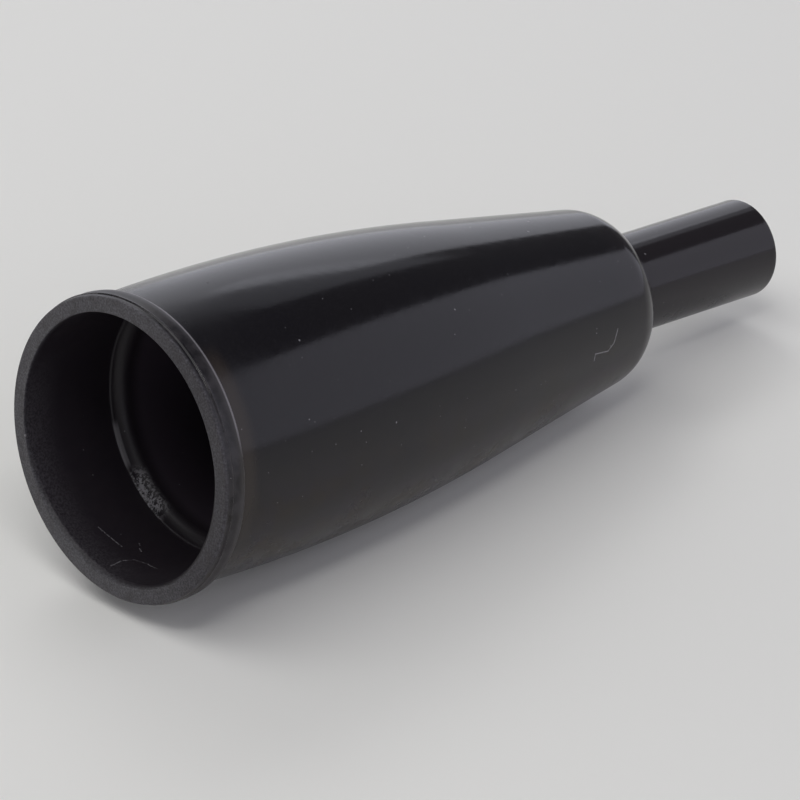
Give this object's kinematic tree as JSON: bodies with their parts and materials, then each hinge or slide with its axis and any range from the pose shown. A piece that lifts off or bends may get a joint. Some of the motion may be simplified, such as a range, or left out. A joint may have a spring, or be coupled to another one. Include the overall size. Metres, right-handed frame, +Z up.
{
  "type": "rubber blower bulb",
  "caption": "Hollow black rubber squeeze bulb, open at a wide beaded mouth with an inner ledge, tapering to a rounded shoulder and a plain tubular neck.",
  "frame": {"origin": "on the surface it lies on, below the middle of the bulb's bounding box", "axes": "+Z up, +X from the mouth towards the neck, +Y across. The bulb rests on its belly with its axis in the XZ plane, 6.1 degrees nose-down: the neck end is the lower end"},
  "size_m": [0.168, 0.0558, 0.0595],
  "materials": {
    "black_rubber": "semi-gloss moulded black rubber, matt on the cut lip face, slightly scuffed"
  },
  "bodies": {
    "root": {"bulb_moulding": "black_rubber"}
  },
  "joints": []
}
